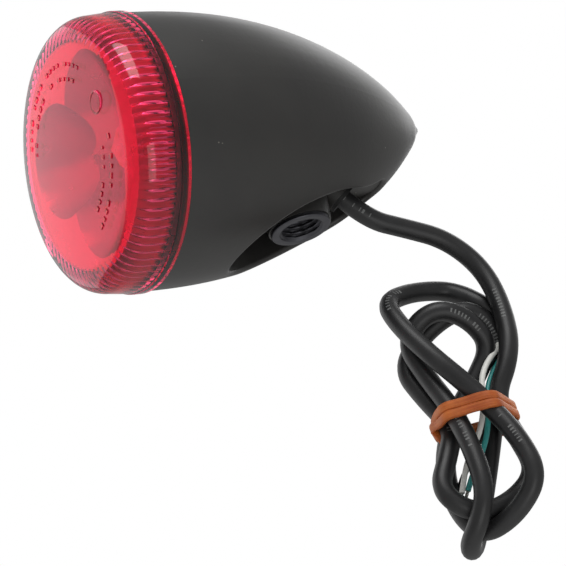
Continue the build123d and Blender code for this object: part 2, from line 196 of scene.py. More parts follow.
def plain_finish(name, code, darker, roughness, metallic, cell, depth):
    """Material with two close shades and a fine bump, in a pattern cell millimetres across."""
    material, tree, output = new_material(name)
    place = add(tree, "ShaderNodeTexCoord").outputs["Object"]
    size = 1000.0 / cell
    cloud = add(tree, "ShaderNodeTexNoise", {"Vector": place, "Scale": size, "Detail": 3.0})
    tone = add(tree, "ShaderNodeMix", {"Factor": cloud.outputs["Fac"]}, data_type="RGBA")
    tone.inputs[6].default_value = shade(darker)
    tone.inputs[7].default_value = shade(code)
    gloss = add(tree, "ShaderNodeMapRange", {
        "Value": cloud.outputs["Fac"], "To Min": roughness * 0.85, "To Max": roughness * 1.15,
    })
    bump = add(tree, "ShaderNodeBump", {
        "Height": cloud.outputs["Fac"], "Strength": depth, "Distance": 0.0001,
    })
    finish_material(tree, output, add(tree, "ShaderNodeBsdfPrincipled", {
        "Base Color": tone.outputs[2], "Roughness": gloss.outputs[0], "Metallic": metallic,
        "Normal": bump.outputs["Normal"],
    }))
    return material


def turned_steel():
    # Zinc-plated steel turned on a lathe: rings 0.94 mm apart round the thread, dulled by
    # handling and darker where grease has stayed. A wave node's period is 0.314 / Scale.
    material, tree, output = new_material("zinc_plated_turned_steel")
    place = add(tree, "ShaderNodeTexCoord").outputs["Object"]
    rings = add(tree, "ShaderNodeTexWave", {
        "Vector": place, "Scale": 333.33, "Distortion": 0.4,
    }, wave_type="RINGS", rings_direction="Z")
    dirt = add(tree, "ShaderNodeTexNoise", {"Vector": place, "Scale": 350.0, "Detail": 4.0})
    tone = add(tree, "ShaderNodeMix", {"Factor": dirt.outputs["Fac"]}, data_type="RGBA")
    tone.inputs[6].default_value = shade("#3c3c40")
    tone.inputs[7].default_value = shade("#66666b")
    bump = add(tree, "ShaderNodeBump", {"Height": rings.outputs["Fac"], "Strength": 0.12, "Distance": 0.0001})
    gloss = add(tree, "ShaderNodeMapRange", {"Value": dirt.outputs["Fac"], "To Min": 0.34, "To Max": 0.5})
    finish_material(tree, output, add(tree, "ShaderNodeBsdfPrincipled", {
        "Base Color": tone.outputs[2], "Metallic": 1.0, "Roughness": gloss.outputs[0],
        "Normal": bump.outputs["Normal"],
    }))
    return material


def cable_jacket():
    # Extruded soft PVC: near-black satin with a broad soft sheen, a fine uneven skin and a thin
    # bloom of dust that makes it paler in places.
    material, tree, output = new_material("black_pvc_jacket")
    place = add(tree, "ShaderNodeTexCoord").outputs["Object"]
    bloom = add(tree, "ShaderNodeTexNoise", {"Vector": place, "Scale": 130.0, "Detail": 5.0})
    tone = add(tree, "ShaderNodeValToRGB", {"Fac": bloom.outputs["Fac"]})
    tone.color_ramp.elements[0].position = 0.4
    tone.color_ramp.elements[0].color = shade("#181819")
    tone.color_ramp.elements[1].position = 0.75
    tone.color_ramp.elements[1].color = shade("#262627")
    skin = add(tree, "ShaderNodeTexNoise", {"Vector": place, "Scale": 1500.0, "Detail": 3.0})
    bump = add(tree, "ShaderNodeBump", {"Height": skin.outputs["Fac"], "Strength": 0.18, "Distance": 0.0001})
    gloss = add(tree, "ShaderNodeMapRange", {"Value": bloom.outputs["Fac"], "To Min": 0.34, "To Max": 0.5})
    finish_material(tree, output, add(tree, "ShaderNodeBsdfPrincipled", {
        "Base Color": tone.outputs["Color"], "Roughness": gloss.outputs[0], "IOR": 1.52,
        "Normal": bump.outputs["Normal"],
    }))
    return material


def latex_band():
    # Orange-brown natural rubber, cut from sheet: matte, a little translucent and cloudy, with
    # the knife's fine lines along it.
    material, tree, output = new_material("natural_rubber_band")
    along = add(tree, "ShaderNodeUVMap", uv_map="strip").outputs["UV"]
    lines = add(tree, "ShaderNodeMapping", {"Vector": along, "Scale": (6.0, 30.0, 1.0)})
    cut = add(tree, "ShaderNodeTexNoise", {"Vector": lines.outputs[0], "Scale": 1.0, "Detail": 4.0})
    place = add(tree, "ShaderNodeTexCoord").outputs["Object"]
    cloud = add(tree, "ShaderNodeTexNoise", {"Vector": place, "Scale": 240.0, "Detail": 3.0})
    both = add(tree, "ShaderNodeMath", {0: cut.outputs["Fac"], 1: cloud.outputs["Fac"]}, operation="ADD")
    half = add(tree, "ShaderNodeMath", {0: both.outputs[0], 1: 0.5}, operation="MULTIPLY")
    tone = add(tree, "ShaderNodeValToRGB", {"Fac": half.outputs[0]})
    tone.color_ramp.elements[0].position = 0.36
    tone.color_ramp.elements[0].color = shade("#a64a10")
    tone.color_ramp.elements[1].position = 0.62
    tone.color_ramp.elements[1].color = shade("#cd702e")
    bump = add(tree, "ShaderNodeBump", {"Height": cut.outputs["Fac"], "Strength": 0.5, "Distance": 0.0003})
    finish_material(tree, output, add(tree, "ShaderNodeBsdfPrincipled", {
        "Base Color": tone.outputs["Color"], "Roughness": 0.55, "Normal": bump.outputs["Normal"],
        "Subsurface Weight": 0.15, "Subsurface Radius": (0.8, 0.3, 0.1), "Subsurface Scale": 0.001,
    }))
    return material


PAINT = satin_paint()
LENS = red_lens()
MIRROR = mirror_plastic()
STEEL = turned_steel()
JACKET = cable_jacket()
LATEX = latex_band()
# Pad-printed legend ink: pale grey, thin and slightly broken.
INK = plain_finish("pad_printed_grey_ink", "#808180", "#5c5d5d", 0.6, 0.0, 0.25, 0.2)
# Nitrile rubber, moulded: dull black, faint bloom.
NITRILE = plain_finish("moulded_nitrile_rubber", "#1d1d1d", "#0f0f0f", 0.65, 0.0, 0.6, 0.3)
# White solder mask on glass-epoxy laminate, with the weave just showing.
LAMINATE = plain_finish("white_solder_mask", "#e9e9e4", "#d6d6cf", 0.35, 0.0, 0.8, 0.15)
# Moulding compound of chips and diodes: matte, finely pitted.
EPOXY = plain_finish("black_moulding_compound", "#202020", "#141414", 0.6, 0.0, 0.2, 0.3)
# Drawn aluminium can: satin, fine drawing marks.
CAN = plain_finish("drawn_aluminium_can", "#c4c5c8", "#a9aaad", 0.32, 1.0, 0.4, 0.1)
# Black ABS moulding with a fine spark-eroded texture.
ABS = plain_finish("textured_black_abs", "#242424", "#191919", 0.5, 0.0, 0.35, 0.35)
# Zinc-plated steel screws, cold-headed.
ZINC = plain_finish("zinc_plated_screw", "#b4b6ba", "#8f9196", 0.3, 1.0, 0.5, 0.12)
# Natural nylon of the cable tie: milky, smooth.
NYLON = plain_finish("natural_nylon", "#dcdad0", "#cfccc0", 0.42, 0.0, 1.0, 0.1)
# Tin-lead solder and tinned strands: bright grey metal with a slightly frosted skin.
TIN = plain_finish("tinned_copper_strands", "#cfcfc8", "#9c9c96", 0.35, 1.0, 0.18, 0.5)
# Clear epoxy dome over a white ceramic package: pale, glossy.
DOME = plain_finish("led_dome_epoxy", "#f4efcf", "#e9dfae", 0.12, 0.0, 1.2, 0.05)
# PVC insulation of the conductors: smooth, semi-gloss.
CORE_WHITE = plain_finish("white_pvc_insulation", "#f6f5f0", "#ecebe5", 0.35, 0.0, 0.8, 0.1)
CORE_GREEN = plain_finish("teal_pvc_insulation", "#3fa9a5", "#2f918d", 0.35, 0.0, 0.8, 0.1)
CORE_BLACK = plain_finish("black_pvc_insulation", "#1c1a19", "#131212", 0.35, 0.0, 0.8, 0.1)

CAD_FINISHES = {
    "housing": PAINT, "lens_seal": NITRILE, "reflector": MIRROR, "led_board": LAMINATE,
    "driver_chip": EPOXY, "resistors": EPOXY, "reverse_diode": EPOXY, "capacitor": CAN,
    "board_carrier": ABS, "carrier_screws": ZINC, "reflector_screws": ZINC,
    "cable_grommet": NITRILE, "cable_inside": JACKET, "cable_tie": NYLON, "solder_joints": TIN,
    "led_1": DOME, "led_2": DOME, "led_3": DOME,
    "inner_core_white": CORE_WHITE, "inner_core_green": CORE_GREEN, "inner_core_black": CORE_BLACK,
    "mount_insert": STEEL, "lens": LENS, "cable_lead": JACKET, "cable_bundle": JACKET,
    "rubber_band": LATEX, "tinned_ends": TIN, "free_core_white": CORE_WHITE,
    "free_core_green": CORE_GREEN, "free_core_black": CORE_BLACK,
}
for node_name, finish in CAD_FINISHES.items():
    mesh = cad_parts[node_name].data
    mesh.materials.clear()
    mesh.materials.append(finish)


# ---- making pieces ----------------------------------------------------------------------------
def place_piece(piece, body):
    """Let a piece ride on its body."""
    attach(piece, body)


def mesh_piece(name, points, faces, material, sharp=35.0):
    """Smooth-shaded mesh object in metres from points in millimetres."""
    mesh = bpy.data.meshes.new(name)
    mesh.from_pydata([tuple(Vector(p) * MM) for p in points], [], faces)
    shell = bmesh.new()
    shell.from_mesh(mesh)
    bmesh.ops.remove_doubles(shell, verts=shell.verts, dist=1e-6)
    bmesh.ops.recalc_face_normals(shell, faces=shell.faces)
    shell.to_mesh(mesh)
    shell.free()
    mesh.shade_smooth()
    mesh.set_sharp_from_angle(angle=math.radians(sharp))
    mesh.materials.append(material)
    piece = bpy.data.objects.new(name, mesh)
    bpy.context.scene.collection.objects.link(piece)
    return piece


def grid_faces(rows, columns, round_rows=False, round_columns=False):
    """Quads of a grid whose points are listed row by row."""
    faces = []
    for i in range(rows if round_rows else rows - 1):
        for j in range(columns if round_columns else columns - 1):
            row = i * columns
            below = (i + 1) % rows * columns
            beside = (j + 1) % columns
            faces.append((row + j, row + beside, below + beside, below + j))
    return faces


# ---- cable ------------------------------------------------------------------------------------
# Route from the gland down to the coil: the same points as the lead's own solid.
LEAD_POINTS = [
    (0.0, 12.6, 7.6),
    (0.0, 17.4, 1.3),
    (0.2, 26.0, -1.9),
    (0.8, 35.0, -5.9),
    (1.7, 41.2, -14.6),
    (3.6, 41.4, -26.4),
    (5.2, 38.4, -38.0),
]

# Each loop of the coil starts in the band, then has its side on the way out, its far end and
# its side on the way back, each as across, down and out of the coil. The loop that is folded
# back on itself has a mark on each side of its fold.
COIL_LOOPS = [
    [(5.2, -2.1, -1.0), (9.1, 14.9, -5.2), (-4.6, 23.7, 2.7), (-12.6, 15.6, 5.6)],
    [(-5.3, 1.5, 0.3), (-11.9, -16.8, -1.9), (4.8, -26.7, -2.9), (11.2, -17.3, -7.0)],
    [(5.2, -2.7, -6.8), (-0.3, 9.4, -7.3), (-8.9, 27.0, -5.3), (-10.2, 29.4, 4.1), (-3.3, 20.4, 8.5)],
    [(-4.2, -0.9, 4.8), (-9.2, -20.3, 1.8), (0.9, -25.6, 3.0), (8.7, -16.0, -3.7)],
    [(-4.7, -2.4, -4.5), (-10.8, 12.8, -2.4), (-6.4, 27.8, 0.8), (8.8, 20.8, 7.6)],
    [(3.2, 0.0, 5.9), (-4.8, -13.4, 8.3), (-10.8, -31.1, 3.0), (2.5, -34.2, -7.6)],
]
# The last loop goes on to the end of the jacket, behind the lead.
COIL_END = [(9.5, -28.2, -7.0), (13.0, -23.9, -8.5)]

CORE_POINTS = {
    "white": [
        (-0.6, 41.8, -25.3), (-0.2, 42.6, -28.6), (0.6, 38.6, -34.2),
        (2.0, 33.5, -38.1), (2.1, 30.4, -42.4), (2.0, 29.1, -48.2),
        (0.7, 26.9, -53.8), (-1.6, 23.5, -58.5), (-2.9, 21.7, -61.6),
        (-4.0, 19.8, -66.3),
    ],
    "green": [
        (-1.3, 43.2, -24.5), (-1.0, 44.0, -29.4), (-0.6, 39.4, -36.0),
        (0.7, 34.8, -40.2), (1.1, 31.6, -44.6), (1.0, 30.2, -49.9),
        (-0.2, 28.2, -55.6), (-2.2, 25.4, -60.1), (-3.2, 22.9, -63.3),
        (-4.0, 21.4, -66.0),
    ],
    "black": [
        (-2.0, 41.8, -25.3), (-2.0, 42.8, -29.6), (-2.5, 39.2, -37.2),
        (-0.9, 34.8, -43.0), (-0.4, 31.7, -48.0), (-1.1, 29.3, -52.6),
        (-3.2, 26.4, -56.7), (-5.0, 23.7, -60.3), (-6.1, 21.4, -63.3),
        (-6.6, 20.2, -65.9),
    ],
}


def coil_points():
    """The marks of all loops, and between each two of them a point on a smooth curve."""
    marks = [in_bundle(*mark) for loop in COIL_LOOPS for mark in loop]
    marks += [in_bundle(*mark) for mark in COIL_END]
    before = [Vector(LEAD_POINTS[-1])] + marks[:-2]
    after = marks[2:] + [marks[-1] * 2 - marks[-2]]
    points = []
    for previous, mark, following, beyond in zip(before, marks, marks[1:], after):
        points.append(mark)
        points.append((9 * (mark + following) - previous - beyond) / 16)
    return points + [marks[-1]]


def make_cord(name, points, diameter, material):
    """Round cord on a smooth open NURBS spline with those control points."""
    data = bpy.data.curves.new(name, "CURVE")
    data.dimensions = "3D"
    spline = data.splines.new("NURBS")
    spline.points.add(len(points) - 1)
    for control, point in zip(spline.points, points):
        control.co = (*(Vector(point) * MM), 1.0)
    spline.order_u = 3
    spline.use_endpoint_u = True
    spline.resolution_u = 10
    data.resolution_u = 10
    data.bevel_depth = diameter / 2 * MM
    data.bevel_resolution = 6
    data.use_fill_caps = True
    data.materials.append(material)
    cord = bpy.data.objects.new(name, data)
    bpy.context.scene.collection.objects.link(cord)
    return cord


def centreline(cord):
    """Points along a cord's own spline, in millimetres."""
    bare = cord.data.copy()
    bare.bevel_depth = 0.0
    probe = bpy.data.objects.new("probe", bare)
    bpy.context.scene.collection.objects.link(probe)
    bpy.context.view_layer.update()
    line = bpy.data.meshes.new_from_object(probe)
    points = [v.co / MM for v in line.vertices]
    bpy.data.objects.remove(probe)
    bpy.data.curves.remove(bare)
    bpy.data.meshes.remove(line)
    return points


def length_of(points):
    return sum((b - a).length for a, b in zip(points, points[1:]))


cable = make_cord("lamp_cable", LEAD_POINTS + coil_points(), CABLE_DIAMETER, JACKET)
place_piece(cable, "lamp")
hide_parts("cable_lead", "cable_bundle")
cable_line = centreline(cable)

cores = {}
for colour, route in CORE_POINTS.items():
    finish = {"white": CORE_WHITE, "green": CORE_GREEN, "black": CORE_BLACK}[colour]
    core = make_cord(f"conductor_{colour}", route, CORE_DIAMETER, finish)
    place_piece(core, "lamp")
    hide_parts(f"free_core_{colour}")
    cores[colour] = core


STRAND_RADIUS = 0.14
STRAND_CIRCLE = 0.27   # of the six outer strands round the middle one
STRAND_LAY = 4.0       # one full twist
STRAND_OVERLAP = 0.6   # inside the insulation


def strand_tips():
    """Tinned tips of the conductors: seven strands twisted together."""
    points, faces = [], []
    rings, sides = 16, 6
    for route in CORE_POINTS.values():
        last = Vector(route[-1])
        along = (last - Vector(route[-2])).normalized()
        side = along.cross(Vector((1, 0, 0))).normalized()
        up = along.cross(side)
        for strand in range(7):
            middle = 0.0 if strand == 6 else STRAND_CIRCLE
            first = len(points)
            for ring in range(rings + 1):
                distance = -STRAND_OVERLAP + (TINNED_LENGTH + STRAND_OVERLAP) * ring / rings
                turn = 2 * math.pi * (distance / STRAND_LAY + strand / 6)
                centre = last + along * distance + (side * math.cos(turn) + up * math.sin(turn)) * middle
                for corner in range(sides):
                    a = 2 * math.pi * corner / sides
                    points.append(centre + (side * math.cos(a) + up * math.sin(a)) * STRAND_RADIUS)
            faces += [tuple(first + k for k in face) for face in grid_faces(rings + 1, sides, False, True)]
            faces.append(tuple(first + k for k in range(sides)))
            faces.append(tuple(first + rings * sides + k for k in reversed(range(sides))))
    return mesh_piece("tinned_strands", points, faces, TIN, 60.0)


tips = strand_tips()
place_piece(tips, "lamp")
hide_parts("tinned_ends")

for colour, core in cores.items():
    round(length_of(centreline(core))) * MM


# ---- geometry-node trees ----------------------------------------------------------------------
def new_tree(name, sizes):
    """Geometry-node tree with a geometry input and named size inputs."""
    tree = bpy.data.node_groups.new(name, "GeometryNodeTree")
    tree.interface.new_socket("Geometry", in_out="INPUT", socket_type="NodeSocketGeometry")
    for label, kind in sizes.items():
        tree.interface.new_socket(label, in_out="INPUT", socket_type=kind)
    tree.interface.new_socket("Geometry", in_out="OUTPUT", socket_type="NodeSocketGeometry")
    source = add(tree, "NodeGroupInput")
    return tree, source


def close_tree(tree, geometry):
    result = add(tree, "NodeGroupOutput")
    tree.links.new(geometry, result.inputs["Geometry"])


def baked(name, start, tree, values, sharp=35.0):
    """Plain mesh that the tree makes from a start mesh and named values."""
    holder = bpy.data.objects.new(name + "_source", start)
    bpy.context.scene.collection.objects.link(holder)
    modifier = holder.modifiers.new("shape", "NODES")
    modifier.node_group = tree
    for item in tree.interface.items_tree:
        if item.in_out == "INPUT" and item.name in values:
            modifier[item.identifier] = values[item.name]
    bpy.context.view_layer.update()
    graph = bpy.context.evaluated_depsgraph_get()
    mesh = bpy.data.meshes.new_from_object(holder.evaluated_get(graph))
    holder.modifiers.remove(modifier)
    bpy.data.objects.remove(holder)
    mesh.set_sharp_from_angle(angle=math.radians(sharp))
    piece = bpy.data.objects.new(name, mesh)
    bpy.context.scene.collection.objects.link(piece)
    return piece


def copies_round_axis():
    """Copies of one segment round the lamp axis, joined into one closed body."""
    tree, source = new_tree("segments_round_the_lamp_axis", {
        "Segments": "NodeSocketInt", "Axis Point": "NodeSocketVector", "Join Distance": "NodeSocketFloat",
        "Finish": "NodeSocketMaterial",
    })
    spots = add(tree, "GeometryNodePoints", {
        "Count": source.outputs["Segments"], "Position": source.outputs["Axis Point"],
    })
    index = add(tree, "GeometryNodeInputIndex")
    turn = add(tree, "ShaderNodeMath", {0: index.outputs[0], 1: 2 * math.pi}, operation="MULTIPLY")
    angle = add(tree, "ShaderNodeMath", {
        0: turn.outputs[0], 1: source.outputs["Segments"],
    }, operation="DIVIDE")
    euler = add(tree, "ShaderNodeCombineXYZ", {"Y": angle.outputs[0]})
    copies = add(tree, "GeometryNodeInstanceOnPoints", {
        "Points": spots.outputs[0], "Instance": source.outputs["Geometry"], "Rotation": euler.outputs[0],
    })
    real = add(tree, "GeometryNodeRealizeInstances", {"Geometry": copies.outputs[0]})
    joined = add(tree, "GeometryNodeMergeByDistance", {
        "Geometry": real.outputs[0], "Distance": source.outputs["Join Distance"],
    })
    smooth = add(tree, "GeometryNodeSetShadeSmooth", {"Geometry": joined.outputs[0]})
    dressed = add(tree, "GeometryNodeSetMaterial", {
        "Geometry": smooth.outputs[0], "Material": source.outputs["Finish"],
    })
    close_tree(tree, dressed.outputs[0])
    return tree


ROUND_AXIS = copies_round_axis()
AXIS_POINT = Vector((0, -SETBACK, AXIS_HEIGHT)) * MM


# ---- lens -------------------------------------------------------------------------------------
RIBS = 80
RIB_DEPTH = 0.9
FACE_TIP = -15.0                       # outside of the face, on the lamp axis
FACE_INSIDE_TIP = -12.5
SHOULDER_CENTRE = (24.85, -7.5)
SHOULDER_RADIUS = 6.0
SHOULDER_SWEEP = math.radians(72)
SHOULDER_INSIDE_CENTRE = (23.2, -7.5)
SHOULDER_INSIDE_RADIUS = 4.0
SHOULDER_INSIDE_SWEEP = math.radians(70)
RIB_SHARE_ON_SHOULDER = 0.7            # of the rib depth, fading towards the face


def arc_points(centre, radius, sweep, steps):
    """Arc in the plane of radius and distance behind the seam, from the side towards the face."""
    angles = [sweep * i / steps for i in range(steps + 1)]
    return [(centre[0] + radius * math.cos(a), centre[1] - radius * math.sin(a)) for a in angles]


def face_distance(radius):
    """Distance behind the seam of the lens face at a radius: a shallow dome up to the shoulder."""
    edge = SHOULDER_CENTRE[0] + SHOULDER_RADIUS * math.cos(SHOULDER_SWEEP)
    behind = SHOULDER_CENTRE[1] - SHOULDER_RADIUS * math.sin(SHOULDER_SWEEP)
    return FACE_TIP + (behind - FACE_TIP) * (radius / edge) ** 2


def lens_profile():
    """Section of the lens: radius, distance behind the seam, share of the rib depth."""
    # Spigot with its seal groove, then the clear lip, then the side.
    outer = [(29.05, 4.2), (29.05, 3.0), (27.95, 2.95), (27.95, 1.65), (29.05, 1.6), (29.05, 0.0)]
    outer += [(31.35, 0.0), (31.5, -0.15), (31.5, -2.15), (31.36, -2.3), (31.25, -2.34)]
    outer += [(31.12, -4.5), (30.85, -7.5)]
    outer += arc_points(SHOULDER_CENTRE, SHOULDER_RADIUS, SHOULDER_SWEEP, 12)[1:]
    edge_radius = outer[-1][0]
    face = [edge_radius * (1 - i / 9) for i in range(1, 10)]
    outer += [(r, face_distance(r)) for r in face]
    outer = [(r, b, 0.0) for r, b in outer]
    inner = [(27.1, 4.5, 0.0), (27.1, 0.5, 0.0), (27.1, -2.0, 0.0), (27.15, -2.6, 1.0)]
    inner += [(27.2, -5.0, 1.0), (27.2, -7.5, 1.0)]
    bend = arc_points(SHOULDER_INSIDE_CENTRE, SHOULDER_INSIDE_RADIUS, SHOULDER_INSIDE_SWEEP, 8)[1:]
    inner += [(r, b, RIB_SHARE_ON_SHOULDER * (1.0 - i / 7)) for i, (r, b) in enumerate(bend)]
    inner_radius, inner_behind = bend[-1]
    lift = inner_behind - FACE_INSIDE_TIP
    for share in (0.97, 0.93, 0.9, 0.75, 0.6, 0.45, 0.3, 0.15, 0.0):
        inner.append((inner_radius * share, FACE_INSIDE_TIP + lift * share**2, 0.0))
    return outer, inner


def rib_segment():
    """One rib's slice of the lens, from the middle of a flute to the middle of the next."""
    outer, inner = lens_profile()
    section = list(reversed(inner)) + [(29.05, 4.5, 0.0)] + outer
    columns = 8
    points, faces = [], []
    for radius, behind, depth in section:
        for column in range(columns + 1):
            share = column / columns
            angle = 2 * math.pi / RIBS * share
            flute = math.cos(math.pi * share) ** 2
            reach = radius + RIB_DEPTH * depth * flute
            points.append(Vector((reach * math.cos(angle), behind, -reach * math.sin(angle))))
    faces = grid_faces(len(section), columns + 1)
    mesh = bpy.data.meshes.new("lens_segment")
    mesh.from_pydata([tuple(p * MM) for p in points], [], faces)
    shell = bmesh.new()
    shell.from_mesh(mesh)
    bmesh.ops.remove_doubles(shell, verts=shell.verts, dist=2e-7)
    shell.to_mesh(mesh)
    shell.free()
    return mesh


def make_lens():
    lens = baked("ribbed_lens", rib_segment(), ROUND_AXIS, {
        "Segments": RIBS, "Axis Point": AXIS_POINT, "Join Distance": 2e-6, "Finish": LENS,
    })
    shell = bmesh.new()
    shell.from_mesh(lens.data)
    bmesh.ops.recalc_face_normals(shell, faces=shell.faces)
    shell.to_mesh(lens.data)
    shell.free()
    place_piece(lens, "lens")
    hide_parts("lens")


make_lens()

# Raised marks moulded on the lens face, as plain dashes in curved lines: radius, first and last
# angle in degrees from +X towards +Z.
MARK_LINES = [
    (20.5, 100, 150), (17.2, 104, 148),
    (20.5, 42, 88), (17.2, 46, 84),
    (20.5, -78, -18), (17.2, -72, -24),
]
MARK_SPACING = 2.1
MARK_SUNK = 0.05                       # foot of a mark, below the face
# Plain ring beside the dashes: radius and angle of its place, and its own radius.
MARK_RING = (19.0, 8.0, 2.4)
RING_BEAD = (0.24, 0.16)               # half its width, and half its height
RING_SUNK = 0.04


def dashes_on_face():
    """Small raised dashes of uneven length, square to the radius they stand on."""
    tree, source = new_tree("dashes_on_the_lens_face", {
        "Axis Point": "NodeSocketVector", "Dash Width": "NodeSocketFloat", "Dash Height": "NodeSocketFloat",
        "Relief": "NodeSocketFloat", "Seed": "NodeSocketInt", "Finish": "NodeSocketMaterial",
    })
    place = add(tree, "GeometryNodeInputPosition")
    offset = add(tree, "ShaderNodeVectorMath", {
        0: place.outputs[0], 1: source.outputs["Axis Point"],
    }, operation="SUBTRACT")
    parts = add(tree, "ShaderNodeSeparateXYZ", {0: offset.outputs[0]})
    angle = add(tree, "ShaderNodeMath", {0: parts.outputs["X"], 1: parts.outputs["Z"]}, operation="ARCTAN2")
    turn = add(tree, "ShaderNodeCombineXYZ", {"Y": angle.outputs[0]})
    size = add(tree, "ShaderNodeCombineXYZ", {
        "X": source.outputs["Dash Width"], "Y": source.outputs["Relief"], "Z": source.outputs["Dash Height"],
    })
    dash = add(tree, "GeometryNodeMeshCube", {"Size": size.outputs[0]})
    uneven = add(tree, "FunctionNodeRandomValue", {
        2: 0.45, 3: 1.0, "Seed": source.outputs["Seed"],
    })
    stretch = add(tree, "ShaderNodeCombineXYZ", {"X": uneven.outputs[1], "Y": 1.0, "Z": 1.0})
    copies = add(tree, "GeometryNodeInstanceOnPoints", {
        "Points": source.outputs["Geometry"], "Instance": dash.outputs["Mesh"], "Rotation": turn.outputs[0],
        "Scale": stretch.outputs[0],
    })
    real = add(tree, "GeometryNodeRealizeInstances", {"Geometry": copies.outputs[0]})
    dressed = add(tree, "GeometryNodeSetMaterial", {
        "Geometry": real.outputs[0], "Material": source.outputs["Finish"],
    })
    close_tree(tree, dressed.outputs[0])
    return tree


def make_lens_marks():
    spots = []
    for radius, first, last in MARK_LINES:
        count = round(radius * math.radians(last - first) / MARK_SPACING)
        for i in range(count + 1):
            if i % 5 != 4:
                angle = math.radians(first + (last - first) * i / count)
                spots.append(on_lamp(radius, angle, face_distance(radius) - MARK_SUNK) * MM)
    start = bpy.data.meshes.new("mark_spots")
    start.from_pydata([tuple(p) for p in spots], [], [])
    marks = baked("moulded_dashes", start, dashes_on_face(), {
        "Axis Point": AXIS_POINT, "Dash Width": 1.5 * MM, "Dash Height": 0.9 * MM, "Relief": 0.34 * MM,
        "Seed": 4, "Finish": LENS,
    })
    place_piece(marks, "lens")


def make_lens_ring():
    radius, degrees, ring_radius = MARK_RING
    middle = on_lamp(radius, math.radians(degrees), face_distance(radius) - RING_SUNK)
    points = []
    for i in range(48):
        a = 2 * math.pi * i / 48
        for k in range(8):
            b = 2 * math.pi * k / 8
            reach = ring_radius + RING_BEAD[0] * math.cos(b)
            lift = RING_BEAD[1] * math.sin(b)
            points.append(middle + Vector((reach * math.cos(a), lift, reach * math.sin(a))))
    ring = mesh_piece("moulded_ring", points, grid_faces(48, 8, True, True), LENS, 60.0)
    place_piece(ring, "lens")


make_lens_marks()
make_lens_ring()


# ---- mounting insert --------------------------------------------------------------------------
THREAD_PITCH = 1.25
THREAD_BORE = 4.375
THREAD_MAJOR = 4.98
THREAD_LENGTH = 10.0
THREAD_MOUTH = 5.07    # radius of the chamfer at the mouth, which narrows at 45 degrees
GROOVE_SHARE = 0.82    # of the pitch that is cut away
GROOVE_FLAT = 1.25     # depth of the V before its bottom is cut flat, to the groove's depth


def make_insert():
    """Flanged steel insert with its M10 x 1.25 thread cut inside, from a chamfered mouth."""
    columns, steps = 96, 80
    outside = [(6.1, THREAD_LENGTH), (6.1, 1.0), (6.92, 0.95), (6.92, 0.2), (6.78, 0.02)]
    outside += [(6.6, 0.0), (5.3, 0.0), (5.12, 0.04)]
    inside = [THREAD_LENGTH * i / steps for i in range(steps + 1)]
    points = []
    for radius, height in outside:
        for column in range(columns):
            a = 2 * math.pi * column / columns
            points.append((radius * math.cos(a), radius * math.sin(a), height))
    for height in inside:
        for column in range(columns):
            share = column / columns
            phase = (height / THREAD_PITCH - share) % 1.0
            groove = max(0.0, 1.0 - abs(2 * phase - 1) / GROOVE_SHARE)
            cut = THREAD_BORE + (THREAD_MAJOR - THREAD_BORE) * min(1.0, groove * GROOVE_FLAT)
            radius = max(cut, THREAD_MOUTH - height)
            a = 2 * math.pi * share
            points.append((radius * math.cos(a), radius * math.sin(a), height))
    rows = len(outside) + len(inside)
    insert = mesh_piece("threaded_insert", points, grid_faces(rows, columns, True, True), STEEL, 30.0)
    place_piece(insert, "lamp")
    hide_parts("mount_insert")


make_insert()


# ---- rubber band ------------------------------------------------------------------------------
BAND_DOWN = 0.4        # below the coil's centre
BAND_TILT = 0.10       # down for each millimetre across
BAND_STEPS = 160       # along one turn
BAND_SIDES = 14        # round the strip's section
BAND_CROSSING = 0.53   # share of the way round where the two turns cross
# Name, shift down, and slack from the jacket, of each turn.
BAND_TURNS = [("upper", -1.05, 0.62), ("lower", 1.0, 0.7)]
TORN_END_STEP = 84     # step of the path where the torn end starts
TORN_END_LENGTH = 4.4


def in_coil_frame(point):
    """Across, down and out of the coil, of a point in millimetres."""
    offset = point - BUNDLE_CENTRE
    return offset.dot(ACROSS), -offset.z, offset.dot(OUT)


def band_path(slack):
    """Closed path that hugs the strands where the band holds them, as across and out."""
    line = [in_coil_frame(p) for p in cable_line]
    strands = []
    for (a0, d0, o0), (a1, d1, o1) in zip(line, line[1:]):
        if (d0 - BAND_DOWN) * (d1 - BAND_DOWN) <= 0 and d0 != d1:
            share = (BAND_DOWN - d0) / (d1 - d0)
            strands.append((a0 + (a1 - a0) * share, o0 + (o1 - o0) * share))
    reach = CABLE_DIAMETER / 2 + slack
    hull = []
    for i in range(BAND_STEPS):
        a = 2 * math.pi * i / BAND_STEPS
        normal = (math.cos(a), math.sin(a))
        furthest = max(strands, key=lambda s: s[0] * normal[0] + s[1] * normal[1])
        hull.append(Vector((furthest[0] + reach * normal[0], furthest[1] + reach * normal[1])))
    # Even spacing along the path, so that the rubber's lines don't bunch up.
    lengths = [(b - a).length for a, b in zip(hull, hull[1:] + hull[:1])]
    total = sum(lengths)
    path, walked, k = [], 0.0, 0
    for i in range(BAND_STEPS):
        goal = total * i / BAND_STEPS
        while walked + lengths[k] < goal:
            walked += lengths[k]
            k += 1
        share = (goal - walked) / lengths[k]
        path.append(hull[k].lerp(hull[(k + 1) % BAND_STEPS], share))
    return path


def strip_section(width, thickness):
    """Rounded flat section of a strip of rubber, as along the coil and out from it."""
    section = []
    for k in range(BAND_SIDES):
        a = 2 * math.pi * k / BAND_SIDES
        c, s = math.cos(a), math.sin(a)
        section.append((
            width / 2 * math.copysign(abs(c) ** 0.5, c),
            thickness / 2 * math.copysign(abs(s) ** 0.7, s),
        ))
    return section


